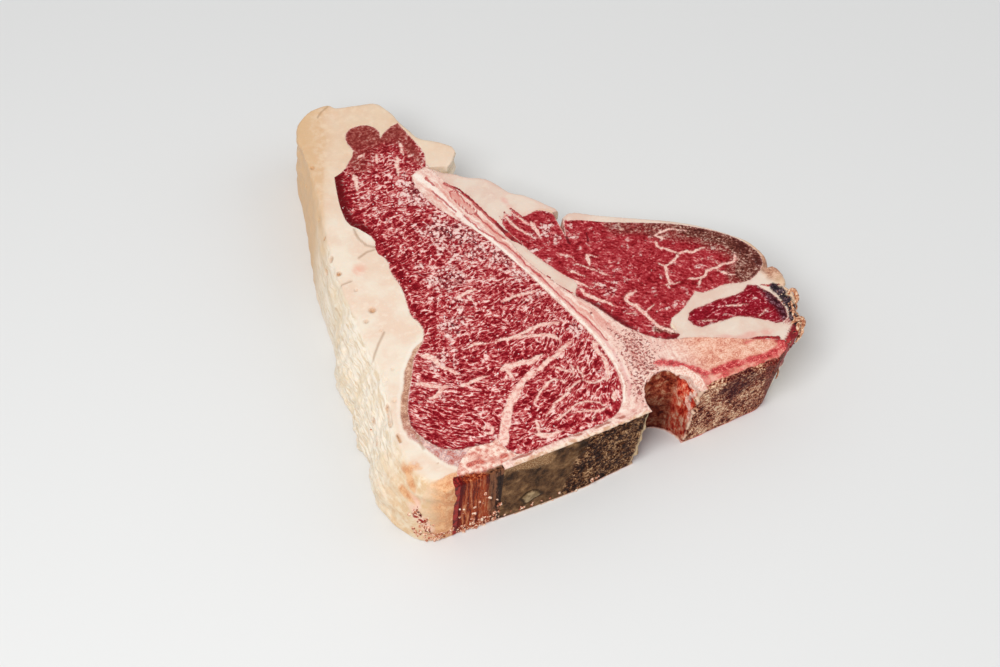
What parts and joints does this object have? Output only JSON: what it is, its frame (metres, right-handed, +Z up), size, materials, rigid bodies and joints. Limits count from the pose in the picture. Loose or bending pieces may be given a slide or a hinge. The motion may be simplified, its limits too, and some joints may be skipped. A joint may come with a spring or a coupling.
{
  "type": "raw t-bone steak",
  "caption": "Thick raw t-bone steak lying flat: strip loin and tenderloin either side of a T-shaped bone, wrapped in pale fat, with a sawn spine face.",
  "frame": {"origin": "centre of the bounding box at the lower cut face", "axes": "+Z up out of the upper cut face; +Y from the sawn spine towards the tail end; +X from the back fat towards the belly end"},
  "size_m": [0.2006, 0.2278, 0.0371],
  "materials": {
    "strip_loin_meat": "moist raw beef, crimson, finely marbled",
    "tenderloin_meat": "moist raw beef, fine grained, browner along its outer rim",
    "side_muscle_meat": "moist raw beef, bright crimson",
    "sawn_bone": "sawn bone, pink and spongy, with a white rim",
    "back_fat": "firm cream fat, dry and streaked on its outer side",
    "inner_fat": "soft white fat",
    "ligament": "striped gristle, orange to dark red on its sawn side"
  },
  "bodies": {
    "root": {"strip_loin": "strip_loin_meat", "tenderloin": "tenderloin_meat", "side_muscle": "side_muscle_meat", "t_bone": "sawn_bone", "back_fat": "back_fat", "tail_fat": "inner_fat", "flank_fat": "inner_fat", "back_ligament": "ligament"}
  },
  "joints": []
}
